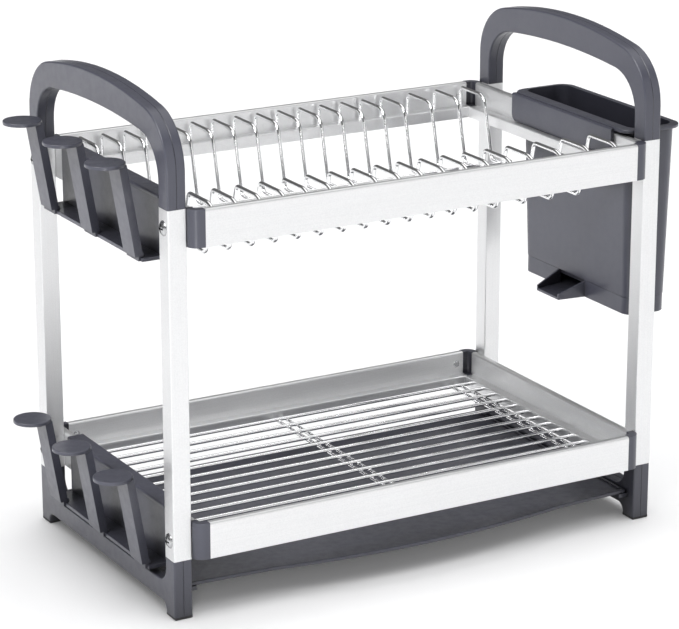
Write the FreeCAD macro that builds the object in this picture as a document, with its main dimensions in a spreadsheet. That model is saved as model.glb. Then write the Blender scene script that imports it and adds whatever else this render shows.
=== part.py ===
"""Two-tier dish drying rack, modelled at full size.

Frame: X along the rack (left -X carries the cup holders, right +X the cutlery caddy),
Y from front (-Y) to back (+Y), Z up, origin on the counter at the middle of the four posts.
Millimetres.
"""
import FreeCAD, Part
import math
import os
import Sketcher

V = FreeCAD.Vector
DOC = FreeCAD.newDocument("dish_rack")

# ---------------------------------------------------------------- driving dimensions
SIZES = {
    "length": 430.0,            # over the outer faces of the posts, along X
    "depth": 242.5,             # over the outer faces of the posts, along Y
    "post_side": 15.0,          # square post
    "post_wall": 1.2,
    "foot_top": 47.2,           # post starts here
    "post_top": 317.4,          # post ends here, handle starts
    "spigot": 18.0,             # plastic plug inside the post
    "shell_round": 1.4,         # soft outer edges of handles and feet
    "seam": 0.35,               # chamfer on each side of the shell seam
    "grip_top": 395.0,          # crown of the handle
    "grip_shoulder": 344.0,     # centre height of the outer corner
    "grip_round": 43.5,         # outer corner radius
    "hand_top": 372.0,          # underside of the grip at its middle
    "hand_shoulder": 335.0,
    "hand_round": 33.0,
    "shell_wall": 2.2,
    "bar_low": 9.6,             # base crossbar underside
    "bar_top": 26.0,
    "foot_arch": 7.0,
    "foot_fillet": 12.0,
    "pad_height": 2.5,
    "frame_length": 400.0,      # tier frame over its end rails
    "frame_depth": 257.8,       # tier frame over its long rails
    "rail_height": 28.6,
    "rail_wide": 6.0,
    "rail_wall": 1.2,
    "ledge_wide": 8.0,
    "ledge_height": 9.2,
    "corner_leg": 11.5,         # corner piece, from outer face to rail end
    "corner_round": 8.3,
    "tongue": 15.0,
    "lower_tier": 47.9,         # underside of the lower frame
    "upper_tier": 288.8,        # underside of the upper frame
    "wire": 3.2,                # rod diameter
    "first_divider": -174.6,
    "divider_pitch": 19.75,
    "wide_pitch": 26.0,
    "loop_top": 315.0,          # divider wire centreline, top of both loops
    "loop_floor": 263.0,        # divider wire centreline, valley
    "shelf_level": 54.0,        # shelf rods' centreline
    "shelf_pitch": 17.2,
    "tray_half": 198.0,
    "tray_back": 112.0,
    "tray_front": 112.0,
    "tray_bow": 127.7,
    "tray_rim": 24.4,
    "cup_half": 87.0,
    "cup_pitch": 74.0,
    "caddy_top": 322.5,
    "caddy_low": 181.0,
    "cup_low": 166.7,
}

SHEET = DOC.addObject("Spreadsheet::Sheet", "Sizes")
for row, (alias, value) in enumerate(SIZES.items(), start=1):
    SHEET.set(f"A{row}", alias)
    SHEET.set(f"B{row}", str(value))
    SHEET.setAlias(f"B{row}", alias)
DOC.recompute()

S = {alias: float(SHEET.get(alias)) for alias in SIZES}
HALF_X = S["length"] / 2
HALF_Y = S["depth"] / 2
SIDE = S["post_side"]
INNER_X = HALF_X - SIDE
INNER_Y = HALF_Y - SIDE
FRAME_X = S["frame_length"] / 2
FRAME_Y = S["frame_depth"] / 2
WIRE = S["wire"]
TIERS = {"lower": "lower_tier", "upper": "upper_tier"}
FOOT_SOLE = 14.0            # floor of the hollow in each foot
SHELF_PAIRS = [middle + side for middle in (-173.0, 0.0, 173.0) for side in (-4.0, 4.0)]
DIVIDER_Y = FRAME_Y - S["rail_wide"] - S["ledge_wide"] / 2
LEDGE_X = FRAME_X - S["rail_wide"] - S["ledge_wide"]
LEDGE_Y = FRAME_Y - S["rail_wide"] - S["ledge_wide"]
CROSS_LEVEL = S["shelf_level"] - WIRE
SCREW_SHANK = 4.0
SCREW_HOLE = SCREW_SHANK + 0.2
RIVET_SHANK = 3.0
RIVET_HOLE = RIVET_SHANK + 0.2
RIVET_X = 181.7             # rivets' distance from the middle of the rack
RIVET_UP = 18.3             # rivets' height above the rail's underside
RUNNER_REACH = 192.0        # inner edge of the ribs that carry the drip tray
RUNNER_LOW = 17.8
RUNNER_TOP = 21.1
RUNNER_HALF = 112.5
NODES = []


# ---------------------------------------------------------------- shared helpers
def keep(thing, label):
    """Give a finished sub-part its node name."""
    thing.Label = label
    NODES.append(thing)
    return thing


def new_body(label):
    """A PartDesign body that becomes one node."""
    body = DOC.addObject("PartDesign::Body", label)
    return keep(body, label)


def plane(body, role):
    """One of the body's own origin planes."""
    return next(item for item in body.Origin.OriginFeatures if item.Role == role)


def new_sketch(body, role, name, offset=0.0, offset_rule=None):
    """A sketch on an origin plane, moved along the plane's normal."""
    sketch = body.newObject("Sketcher::SketchObject", name)
    sketch.AttachmentSupport = [(plane(body, role), "")]
    sketch.MapMode = "FlatFace"
    sketch.AttachmentOffset = FreeCAD.Placement(V(0, 0, offset), FreeCAD.Rotation())
    if offset_rule:
        sketch.setExpression("AttachmentOffset.Base.z", offset_rule)
    return sketch


def box_lines(sketch, low, high):
    """Add a rectangle and hold its corners with dimensions."""
    corners = [V(low[0], low[1], 0), V(high[0], low[1], 0), V(high[0], high[1], 0), V(low[0], high[1], 0)]
    first = sketch.GeometryCount
    for start in range(4):
        sketch.addGeometry(Part.LineSegment(corners[start], corners[(start + 1) % 4]), False)
    for start in range(4):
        other = first + (start + 1) % 4
        sketch.addConstraint(Sketcher.Constraint("Coincident", first + start, 2, other, 1))
    sketch.addConstraint(Sketcher.Constraint("Horizontal", first))
    sketch.addConstraint(Sketcher.Constraint("Vertical", first + 1))
    sketch.addConstraint(Sketcher.Constraint("Horizontal", first + 2))
    sketch.addConstraint(Sketcher.Constraint("Vertical", first + 3))
    sketch.addConstraint(Sketcher.Constraint("DistanceX", -1, 1, first, 1, low[0]))
    sketch.addConstraint(Sketcher.Constraint("DistanceY", -1, 1, first, 1, low[1]))
    sketch.addConstraint(Sketcher.Constraint("DistanceX", first, 1, first, 2, high[0] - low[0]))
    sketch.addConstraint(Sketcher.Constraint("DistanceY", first + 1, 1, first + 1, 2, high[1] - low[1]))
    return sketch.ConstraintCount - 4


def loop(sketch, points, rounds=None, closed=True):
    """Add an outline through the points, closed or open; rounds gives a radius for some corners."""
    rounds = rounds or {}
    count = len(points)
    trims = []
    for index in range(count):
        here = points[index]
        before = (points[index - 1] - here).normalize()
        after = (points[(index + 1) % count] - here).normalize()
        radius = rounds.get(index, 0.0)
        if radius == 0.0:
            trims.append((here, here, None))
            continue
        half_angle = before.getAngle(after) / 2
        reach = radius / math.tan(half_angle)
        middle_way = (before + after).normalize()
        near = radius / math.sin(half_angle) - radius
        trims.append((here + before * reach, here + after * reach, here + middle_way * near))
    for index in range(count):
        enter, leave, middle = trims[index]
        if middle is not None:
            sketch.addGeometry(Part.Arc(enter, middle, leave), False)
        follower = trims[(index + 1) % count][0]
        if (closed or index + 1 < count) and (follower - leave).Length > 1e-6:
            sketch.addGeometry(Part.LineSegment(leave, follower), False)


def pad(body, sketch, name, length, rule=None, midplane=False, reverse=False):
    """Raise a sketch."""
    feature = body.newObject("PartDesign::Pad", name)
    feature.Profile = sketch
    feature.Length = length
    feature.Midplane = midplane
    feature.Reversed = reverse
    if rule:
        feature.setExpression("Length", rule)
    sketch.Visibility = False
    return feature


def pocket(body, sketch, name, length, reverse=False, midplane=False):
    """Cut a sketch away and check that it took something."""
    DOC.recompute()
    before = body.Shape.Volume
    feature = body.newObject("PartDesign::Pocket", name)
    feature.Profile = sketch
    feature.Length = length
    feature.Midplane = midplane
    feature.Reversed = reverse
    sketch.Visibility = False
    DOC.recompute()
    if not body.Shape.Volume < before - 0.01:
        raise RuntimeError(f"{name} cut nothing from {body.Label}")
    return feature


def soften(body, kind, name, size, chosen, rule=None):
    """Fillet or chamfer the edges that the test picks from the body's last feature."""
    DOC.recompute()
    base = body.Tip
    picks = [f"Edge{index}" for index, edge in enumerate(base.Shape.Edges, start=1) if chosen(edge)]
    feature = body.newObject(f"PartDesign::{kind}", name)
    feature.Base = (base, picks)
    setattr(feature, "Radius" if kind == "Fillet" else "Size", size)
    if rule:
        feature.setExpression("Radius" if kind == "Fillet" else "Size", rule)
    DOC.recompute()
    return feature


def taper(body, kind, name, lower, upper):
    """Loft between two sketches, added or cut away."""
    feature = body.newObject(f"PartDesign::{kind}", name)
    feature.Profile = lower
    feature.Sections = [upper]
    feature.Ruled = True
    for sketch in (lower, upper):
        sketch.Visibility = False
    return feature


def solid_feature(shape, label):
    """A node whose shape is worked out here."""
    feature = DOC.addObject("Part::Feature", label)
    feature.Shape = shape
    return keep(feature, label)


def box(low, high):
    """A plain block between two corners."""
    size = [high[axis] - low[axis] for axis in range(3)]
    return Part.makeBox(size[0], size[1], size[2], V(*low))


def mirrored(shape, normal):
    """A mirror copy through the origin."""
    return shape.mirror(V(0, 0, 0), normal)


# ---------------------------------------------------------------- posts
def build_posts():
    """Four square aluminium tubes with a crossways screw hole at each tier."""
    for end, side_x in (("left", -1), ("right", 1)):
        for face, side_y in (("front", -1), ("back", 1)):
            body = new_body(f"post_{face}_{end}")
            sketch = new_sketch(body, "XY_Plane", f"section_{face}_{end}", S["foot_top"], "Sizes.foot_top")
            low_x = -HALF_X if side_x < 0 else INNER_X
            low_y = -HALF_Y if side_y < 0 else INNER_Y
            size = box_lines(sketch, (low_x, low_y), (low_x + SIDE, low_y + SIDE))
            sketch.setExpression(f"Constraints[{size + 2}]", "Sizes.post_side")
            sketch.setExpression(f"Constraints[{size + 3}]", "Sizes.post_side")
            wall = S["post_wall"]
            size = box_lines(sketch, (low_x + wall, low_y + wall), (low_x + SIDE - wall, low_y + SIDE - wall))
            sketch.setExpression(f"Constraints[{size + 2}]", "Sizes.post_side - 2 * Sizes.post_wall")
            sketch.setExpression(f"Constraints[{size + 3}]", "Sizes.post_side - 2 * Sizes.post_wall")
            height = S["post_top"] - S["foot_top"]
            pad(body, sketch, f"tube_{face}_{end}", height, "Sizes.post_top - Sizes.foot_top")

            def outer_upright(edge):
                point = edge.CenterOfMass
                start, finish = edge.Vertexes[0], edge.Vertexes[1]
                lean = abs(start.X - finish.X) + abs(start.Y - finish.Y)
                out_x = min(abs(point.x - low_x), abs(point.x - low_x - SIDE))
                out_y = min(abs(point.y - low_y), abs(point.y - low_y - SIDE))
                return lean < 1e-6 and out_x < 1e-3 and out_y < 1e-3

            soften(body, "Fillet", f"corners_{face}_{end}", 0.9, outer_upright)
            holes = new_sketch(body, "YZ_Plane", f"screw_holes_{face}_{end}", 0.0)
            for level in (S["lower_tier"], S["upper_tier"]):
                centre = V(side_y * (HALF_Y - SIDE / 2), level + S["rail_height"] / 2, 0)
                holes.addGeometry(Part.Circle(centre, V(0, 0, 1), SCREW_HOLE / 2), False)
            pocket(body, holes, f"cross_holes_{face}_{end}", HALF_X + 1, reverse=side_x > 0)


# ---------------------------------------------------------------- handles and base frames
def crown_radius(centre_y, rise, corner):
    """Radius of the shallow top arc that runs smoothly into two corner arcs."""
    return (centre_y ** 2 + rise ** 2 - corner ** 2) / (2 * (rise - corner))


def arch_half(sketch, leg_y, foot_z, shoulder, corner, peak, points):
    """Add one arch outline (leg, corner, crown, corner, leg) from -Y to +Y."""
    centre_y = leg_y - corner
    big = crown_radius(centre_y, peak - shoulder, corner)
    tilt = math.asin(centre_y / (big - corner))
    touch = V(centre_y + corner * math.sin(tilt), shoulder + corner * math.cos(tilt), 0)
    bend = V(centre_y + corner * math.cos((math.pi / 2 - tilt) / 2),
             shoulder + corner * math.sin((math.pi / 2 - tilt) / 2), 0)
    left_bend = V(-bend.x, bend.y, 0)
    left_touch = V(-touch.x, touch.y, 0)
    sketch.addGeometry(Part.LineSegment(V(-leg_y, foot_z, 0), V(-leg_y, shoulder, 0)), False)
    sketch.addGeometry(Part.Arc(V(-leg_y, shoulder, 0), left_bend, left_touch), False)
    sketch.addGeometry(Part.Arc(left_touch, V(0, peak, 0), touch), False)
    sketch.addGeometry(Part.Arc(touch, bend, V(leg_y, shoulder, 0)), False)
    sketch.addGeometry(Part.LineSegment(V(leg_y, shoulder, 0), V(leg_y, foot_z, 0)), False)
    points.append((V(-leg_y, foot_z, 0), V(leg_y, foot_z, 0)))


def arch_outline(sketch, inset, foot_z):
    """The handle's side view: outer arch, inner arch and the two leg ends."""
    ends = []
    arch_half(sketch, HALF_Y - inset, foot_z,
              S["grip_shoulder"], S["grip_round"] - inset, S["grip_top"] - inset, ends)
    arch_half(sketch, INNER_Y + inset, foot_z,
              S["hand_shoulder"], S["hand_round"] + inset, S["hand_top"] + inset, ends)
    for side in range(2):
        sketch.addGeometry(Part.LineSegment(ends[0][side], ends[1][side]), False)


def base_outline(sketch, inset, foot_z):
    """The base frame's side view: two feet joined by a low crossbar."""
    outer = HALF_Y - inset
    inner = INNER_Y + inset
    top = S["foot_top"]
    bar_top = S["bar_top"] - inset
    bar_low = S["bar_low"] + inset
    points = [
        V(-outer, foot_z, 0), V(-outer, top, 0), V(-inner, top, 0), V(-inner, bar_top, 0),
        V(inner, bar_top, 0), V(inner, top, 0), V(outer, top, 0), V(outer, foot_z, 0),
        V(inner, foot_z, 0), V(inner, bar_low, 0), V(-inner, bar_low, 0), V(-inner, foot_z, 0),
    ]
    rounds = {3: S["foot_fillet"] + inset, 4: S["foot_fillet"] + inset}
    arch = min(S["foot_arch"] + inset, bar_low - foot_z) - 0.05
    rounds.update({9: arch, 10: arch})
    loop(sketch, points, rounds)


def build_end_frames():
    """Handle arch and base frame at each end, each made of an outer and an inner shell."""
    half = SIDE / 2
    plug_gap = 0.1
    for end, side_x in (("left", -1), ("right", 1)):
        for layer in ("outer", "inner"):
            seam_x = side_x * (HALF_X - half)
            outward = side_x if layer == "outer" else -side_x
            face_x = seam_x + outward * half
            for kind in ("handle", "base"):
                body = new_body(f"{kind}_{end}_{layer}")
                tag = f"{kind}_{end}_{layer}"
                outline = new_sketch(body, "YZ_Plane", f"outline_{tag}", seam_x)
                if kind == "handle":
                    arch_outline(outline, 0.0, S["post_top"])
                    end_z, plug_low, plug_high = S["post_top"], S["post_top"] - S["spigot"], S["post_top"]
                else:
                    base_outline(outline, 0.0, S["pad_height"])
                    end_z, plug_low, plug_high = S["foot_top"], S["foot_top"], S["foot_top"] + S["spigot"]
                pad(body, outline, f"shell_{tag}", half, "Sizes.post_side / 2", reverse=outward < 0)

                def on_face(edge, where=face_x, level=end_z):
                    flat = all(abs(vertex.X - where) < 1e-3 for vertex in edge.Vertexes)
                    along_end = all(abs(vertex.Z - level) < 1e-3 for vertex in edge.Vertexes)
                    along_pad = all(abs(vertex.Z - S["pad_height"]) < 1e-3 for vertex in edge.Vertexes)
                    return flat and not along_end and not along_pad

                def on_seam(edge, where=seam_x, level=end_z):
                    return on_face(edge, where, level)

                soften(body, "Fillet", f"soft_{tag}", S["shell_round"], on_face, "Sizes.shell_round")
                soften(body, "Chamfer", f"seam_{tag}", S["seam"], on_seam, "Sizes.seam")
                cavity = new_sketch(body, "YZ_Plane", f"cavity_{tag}", seam_x)
                if kind == "handle":
                    arch_outline(cavity, S["shell_wall"], S["post_top"] + S["shell_wall"])
                else:
                    wall = S["shell_wall"]
                    outer, inner = HALF_Y - wall, INNER_Y + wall
                    for side in (-1, 1):
                        low, high = FOOT_SOLE, S["foot_top"] - wall
                        loop(cavity, [V(side * inner, low, 0), V(side * outer, low, 0),
                                      V(side * outer, high, 0), V(side * inner, high, 0)])
                    bar_end = INNER_Y - S["foot_fillet"]
                    loop(cavity, [V(-bar_end, S["bar_low"] + wall, 0), V(bar_end, S["bar_low"] + wall, 0),
                                  V(bar_end, S["bar_top"] - wall, 0), V(-bar_end, S["bar_top"] - wall, 0)])
                pocket(body, cavity, f"hollow_{tag}", half - S["shell_wall"], reverse=outward > 0)
                plugs = new_sketch(body, "XY_Plane", f"plugs_{tag}", plug_low)
                bore = S["post_wall"] + plug_gap
                low_x, high_x = sorted((seam_x, face_x - outward * bore))
                for side in (-1, 1):
                    low_y, high_y = sorted((side * (HALF_Y - bore), side * (INNER_Y + bore)))
                    box_lines(plugs, (low_x, low_y), (high_x, high_y))
                pad(body, plugs, f"spigots_{tag}", plug_high - plug_low, "Sizes.spigot")
                tier = S["upper_tier"] if kind == "handle" else S["lower_tier"]
                holes = new_sketch(body, "YZ_Plane", f"screw_holes_{tag}", seam_x)
                for side in (-1, 1):
                    centre = V(side * (HALF_Y - half), tier + S["rail_height"] / 2, 0)
                    holes.addGeometry(Part.Circle(centre, V(0, 0, 1), SCREW_HOLE / 2), False)
                pocket(body, holes, f"drilled_{tag}", half, reverse=outward > 0)
                if kind == "base" and layer == "inner":
                    add_tray_runner(body, tag, side_x)


def add_tray_runner(body, tag, side_x):
    """A rib on the inside of the base frame that carries the drip tray's edge."""
    runner = new_sketch(body, "XZ_Plane", f"runner_{tag}")
    low_x, high_x = sorted((side_x * RUNNER_REACH, side_x * (INNER_X + 1.0)))
    box_lines(runner, (low_x, RUNNER_LOW), (high_x, RUNNER_TOP))
    pad(body, runner, f"rib_{tag}", 2 * RUNNER_HALF, midplane=True)


def build_foot_pads():
    """Black rubber pads under the four feet, each with a chamfered edge."""
    inset = 0.3
    for end, side_x in (("left", -1), ("right", 1)):
        for face, side_y in (("front", -1), ("back", 1)):
            body = new_body(f"foot_pad_{face}_{end}")
            sketch = new_sketch(body, "XY_Plane", f"print_{face}_{end}")
            low_x, high_x = sorted((side_x * (HALF_X - inset), side_x * (INNER_X + inset)))
            low_y, high_y = sorted((side_y * (HALF_Y - inset), side_y * (INNER_Y + inset)))
            box_lines(sketch, (low_x, low_y), (high_x, high_y))
            pad(body, sketch, f"rubber_{face}_{end}", S["pad_height"], "Sizes.pad_height")

            def ground_edge(edge):
                return all(abs(vertex.Z) < 1e-6 for vertex in edge.Vertexes)

            soften(body, "Chamfer", f"edge_{face}_{end}", 0.6, ground_edge)


# ---------------------------------------------------------------- tier frames
def rail_section(sketch, outer, inward, bottom):
    """Hollow rail with a hollow ledge: outer face position, inward direction, underside height."""
    wall = S["rail_wall"]
    wide = S["rail_wide"]
    ledge = wide + S["ledge_wide"]
    tall = S["rail_height"]
    step = S["ledge_height"]

    def place(across, up):
        return V(outer + inward * across, bottom + up, 0)

    loop(sketch, [place(0, 0), place(ledge, 0), place(ledge, step), place(wide, step), place(wide, tall),
                  place(0, tall)], {2: 1.0, 4: 1.5, 5: 2.0})
    loop(sketch, [place(wall, step + 0.8), place(wide - wall, step + 0.8), place(wide - wall, tall - wall),
                  place(wall, tall - wall)])
    loop(sketch, [place(wall, wall), place(ledge - wall, wall), place(ledge - wall, step - wall),
                  place(wall, step - wall)])


def divider_places():
    """X of the eighteen divider wires: fifteen close together, then three wider apart."""
    places = [S["first_divider"] + S["divider_pitch"] * number for number in range(15)]
    for number in range(1, 4):
        places.append(places[14] + S["wide_pitch"] * number)
    return places


def shelf_rows():
    """Y of the thirteen shelf rods."""
    return [S["shelf_pitch"] * number for number in range(-6, 7)]


def build_long_rails():
    """Front and back rails of both tiers, drilled for the wires and rivets."""
    for tier, alias in TIERS.items():
        bottom = S[alias]
        for face, side_y in (("front", -1), ("back", 1)):
            tag = f"{tier}_{face}_rail"
            body = new_body(tag)
            section = new_sketch(body, "YZ_Plane", f"section_{tag}")
            rail_section(section, side_y * FRAME_Y, -side_y, bottom)
            pad(body, section, f"bar_{tag}", 2 * (FRAME_X - S["corner_leg"]),
                "Sizes.frame_length - 2 * Sizes.corner_leg", midplane=True)
            DOC.recompute()
            if tier == "upper":
                holes = new_sketch(body, "XY_Plane", f"wire_holes_{tag}", bottom + S["ledge_height"] + 0.5)
                for place in divider_places():
                    centre = V(place, side_y * DIVIDER_Y, 0)
                    holes.addGeometry(Part.Circle(centre, V(0, 0, 1), WIRE / 2), False)
                pocket(body, holes, f"drilled_{tag}", 3.0)
            else:
                holes = new_sketch(body, "XZ_Plane", f"wire_holes_{tag}", -side_y * (LEDGE_Y - 1))
                for place in SHELF_PAIRS:
                    holes.addGeometry(Part.Circle(V(place, CROSS_LEVEL, 0), V(0, 0, 1), WIRE / 2), False)
                pocket(body, holes, f"drilled_{tag}", 3.0, reverse=side_y < 0)
            inner_face = FRAME_Y - S["rail_wide"] - 0.5
            pins = new_sketch(body, "XZ_Plane", f"rivet_holes_{tag}", -side_y * inner_face)
            for side_x in (-1, 1):
                centre = V(side_x * RIVET_X, bottom + RIVET_UP, 0)
                pins.addGeometry(Part.Circle(centre, V(0, 0, 1), RIVET_HOLE / 2), False)
            pocket(body, pins, f"pinned_{tag}", 3.0, reverse=side_y < 0)


def build_end_rails():
    """Left and right rails of both tiers, with screw holes and a trimmed ledge."""
    for tier, alias in TIERS.items():
        bottom = S[alias]
        for end, side_x in (("left", -1), ("right", 1)):
            tag = f"{tier}_{end}_rail"
            body = new_body(tag)
            section = new_sketch(body, "XZ_Plane", f"section_{tag}")
            rail_section(section, side_x * FRAME_X, -side_x, bottom)
            run = 2 * (FRAME_Y - S["corner_leg"])
            pad(body, section, f"bar_{tag}", run, "Sizes.frame_depth - 2 * Sizes.corner_leg", midplane=True)
            DOC.recompute()
            trim = new_sketch(body, "XY_Plane", f"ledge_trim_{tag}", bottom - 1)
            low_x, high_x = sorted((side_x * (LEDGE_X - 1), side_x * (FRAME_X - S["rail_wide"])))
            for side_y in (-1, 1):
                low_y, high_y = sorted((side_y * LEDGE_Y, side_y * FRAME_Y))
                box_lines(trim, (low_x, low_y), (high_x, high_y))
            pocket(body, trim, f"trimmed_{tag}", S["ledge_height"] + 2, reverse=True)
            screws = new_sketch(body, "YZ_Plane", f"screw_holes_{tag}", side_x * (FRAME_X + 1))
            for side_y in (-1, 1):
                centre = V(side_y * (HALF_Y - SIDE / 2), bottom + S["rail_height"] / 2, 0)
                screws.addGeometry(Part.Circle(centre, V(0, 0, 1), SCREW_HOLE / 2), False)
            pocket(body, screws, f"drilled_{tag}", 3.0, reverse=side_x < 0)
            if tier == "lower":
                holes = new_sketch(body, "YZ_Plane", f"wire_holes_{tag}", side_x * (LEDGE_X - 1))
                for place in shelf_rows():
                    holes.addGeometry(Part.Circle(V(place, S["shelf_level"], 0), V(0, 0, 1), WIRE / 2), False)
                pocket(body, holes, f"sockets_{tag}", 3.0, reverse=side_x > 0)


def build_corners():
    """Moulded corner pieces: a rounded elbow, a ledge block, and a tongue into each rail."""
    leg = S["corner_leg"]
    wide = S["rail_wide"]
    tall = S["rail_height"]
    gap = S["rail_wall"] + 0.1
    for tier, alias in TIERS.items():
        bottom = S[alias]
        for end, side_x in (("left", -1), ("right", 1)):
            for face, side_y in (("front", -1), ("back", 1)):
                tag = f"{tier}_corner_{face}_{end}"
                body = new_body(tag)

                def place(inward_x, inward_y):
                    return V(side_x * (FRAME_X - inward_x), side_y * (FRAME_Y - inward_y), 0)

                elbow = new_sketch(body, "XY_Plane", f"elbow_{tag}", bottom, f"Sizes.{alias}")
                loop(elbow, [place(0, 0), place(leg, 0), place(leg, wide),
                             place(wide, wide), place(wide, leg), place(0, leg)],
                     {0: S["corner_round"], 3: S["corner_round"] - wide})
                pad(body, elbow, f"wall_{tag}", tall, "Sizes.rail_height")
                ledge = new_sketch(body, "XY_Plane", f"ledge_{tag}", bottom, f"Sizes.{alias}")
                loop(ledge, [place(wide, wide), place(leg, wide), place(leg, wide + S["ledge_wide"]),
                             place(wide, wide + S["ledge_wide"])])
                pad(body, ledge, f"block_{tag}", S["ledge_height"], "Sizes.ledge_height")
                low = S["ledge_height"] + 0.9
                tongues = new_sketch(body, "XY_Plane", f"tongues_{tag}", bottom + low,
                                     f"Sizes.{alias} + {low}")
                reach = leg + S["tongue"]
                loop(tongues, [place(leg - 1, gap), place(reach, gap), place(reach, wide - gap),
                               place(leg - 1, wide - gap)])
                loop(tongues, [place(gap, leg - 1), place(gap, reach), place(wide - gap, reach),
                               place(wide - gap, leg - 1)])
                pad(body, tongues, f"tongue_{tag}", tall - gap - low)
                screw = new_sketch(body, "YZ_Plane", f"screw_hole_{tag}", side_x * (FRAME_X + 1))
                centre = V(side_y * (HALF_Y - SIDE / 2), bottom + tall / 2, 0)
                screw.addGeometry(Part.Circle(centre, V(0, 0, 1), SCREW_HOLE / 2), False)
                pocket(body, screw, f"screwed_{tag}", wide + 2, reverse=side_x < 0)
                pin = new_sketch(body, "XZ_Plane", f"rivet_hole_{tag}", -side_y * (FRAME_Y - wide - 1))
                centre = V(side_x * RIVET_X, bottom + RIVET_UP, 0)
                pin.addGeometry(Part.Circle(centre, V(0, 0, 1), RIVET_HOLE / 2), False)
                pocket(body, pin, f"pinned_{tag}", wide, reverse=side_y < 0)


# ---------------------------------------------------------------- fasteners
def screw_shape():
    """Pan-head cross-recess screw along +X, underside of the head at the origin."""
    head_radius, head_tall, slot_wide, slot_long, slot_deep = 5.8, 2.6, 1.3, 6.4, 1.5
    dome = (head_radius ** 2 + head_tall ** 2) / (2 * head_tall)
    ball = Part.makeSphere(dome, V(dome - head_tall, 0, 0))
    barrel = Part.makeCylinder(head_radius, head_tall, V(-head_tall, 0, 0), V(1, 0, 0))
    reach = SIDE + S["rail_wide"] - S["rail_wall"] - 0.4
    shank = Part.makeCylinder(SCREW_SHANK / 2, reach, V(0, 0, 0), V(1, 0, 0))
    slots = []
    for along, across in ((slot_long, slot_wide), (slot_wide, slot_long)):
        slots.append(box((-head_tall - 1, -along / 2, -across / 2),
                         (slot_deep - head_tall, along / 2, across / 2)))
    return barrel.common(ball).cut(slots).fuse(shank).removeSplitter()


def rivet_shape():
    """Domed pin along -Y, underside of the dome at the origin."""
    head_radius, head_tall = 2.9, 1.5
    dome = (head_radius ** 2 + head_tall ** 2) / (2 * head_tall)
    ball = Part.makeSphere(dome, V(0, head_tall - dome, 0))
    barrel = Part.makeCylinder(head_radius, head_tall, V(0, 0, 0), V(0, 1, 0))
    reach = S["rail_wide"] - S["rail_wall"] - 0.4
    shank = Part.makeCylinder(RIVET_SHANK / 2, reach, V(0, 0, 0), V(0, -1, 0))
    return barrel.common(ball).fuse(shank).removeSplitter()


def build_fasteners():
    """Eight post screws in one node and eight corner rivets in another."""
    screws, rivets = [], []
    for alias in TIERS.values():
        for side_y in (-1, 1):
            screw = screw_shape()
            screw.translate(V(-HALF_X, side_y * (HALF_Y - SIDE / 2), S[alias] + S["rail_height"] / 2))
            screws += [screw, mirrored(screw, V(1, 0, 0))]
        for side_x in (-1, 1):
            rivet = rivet_shape()
            rivet.translate(V(side_x * RIVET_X, -FRAME_Y + S["rail_wide"], S[alias] + RIVET_UP))
            rivets += [rivet, mirrored(rivet, V(0, 1, 0))]
    solid_feature(Part.makeCompound(screws), "post_screws")
    solid_feature(Part.makeCompound(rivets), "corner_rivets")


# ---------------------------------------------------------------- wires
def build_dividers():
    """Eighteen bent divider wires, each swept along its centreline."""
    top, floor = S["loop_top"], S["loop_floor"]
    tip = S["upper_tier"] + S["ledge_height"] - S["rail_wall"] - 1.0
    points = [V(DIVIDER_Y, tip, 0), V(DIVIDER_Y, top, 0), V(80.8, top, 0), V(68.5, floor, 0),
              V(-62.0, floor, 0), V(-74.6, top, 0), V(-DIVIDER_Y, top, 0), V(-DIVIDER_Y, tip, 0)]
    bends = {1: 4.5, 2: 10.5, 3: 6.0, 4: 6.0, 5: 4.5, 6: 16.5}
    for number, place in enumerate(divider_places(), start=1):
        tag = f"divider_wire_{number:02d}"
        body = new_body(tag)
        path = new_sketch(body, "YZ_Plane", f"route_{tag}", place)
        loop(path, points, bends, closed=False)
        section = new_sketch(body, "XY_Plane", f"section_{tag}", tip)
        circle = section.addGeometry(Part.Circle(V(place, DIVIDER_Y, 0), V(0, 0, 1), WIRE / 2), False)
        section.addConstraint(Sketcher.Constraint("Diameter", circle, WIRE))
        section.setExpression("Constraints[0]", "Sizes.wire")
        pipe = body.newObject("PartDesign::AdditivePipe", f"wire_{tag}")
        pipe.Profile = section
        pipe.Spine = path
        section.Visibility = False
        path.Visibility = False


def rod_group(label, ends):
    """Straight round rods between pairs of points, held together as one node."""
    rods = []
    for number, (start, end) in enumerate(ends, start=1):
        start, end = V(*start), V(*end)
        stick = DOC.addObject("Part::Cylinder", f"{label}_{number}")
        stick.setExpression("Radius", "Sizes.wire / 2")
        stick.Height = (end - start).Length
        stick.Placement = FreeCAD.Placement(start, FreeCAD.Rotation(V(0, 0, 1), end - start))
        rods.append(stick)
    group = DOC.addObject("Part::Compound", label)
    group.Links = rods
    return keep(group, label)


def build_rods():
    """Two rods that tie the divider wires, and the lower shelf's thirteen rods over three pairs."""
    level = S["loop_floor"] + WIRE
    overhang = 3.6
    first, last = divider_places()[0] - overhang, divider_places()[-1] + overhang
    rod_group("divider_tie_rods", [((first, y, level), (last, y, level)) for y in (-44.0, 44.0)])
    reach_x = LEDGE_X + S["rail_wall"] - 0.1
    reach_y = LEDGE_Y + S["rail_wall"] - 0.1
    level = S["shelf_level"]
    rod_group("shelf_rods", [((-reach_x, y, level), (reach_x, y, level)) for y in shelf_rows()])
    level = CROSS_LEVEL
    rod_group("shelf_cross_rods", [((x, -reach_y, level), (x, reach_y, level)) for x in SHELF_PAIRS])


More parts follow.
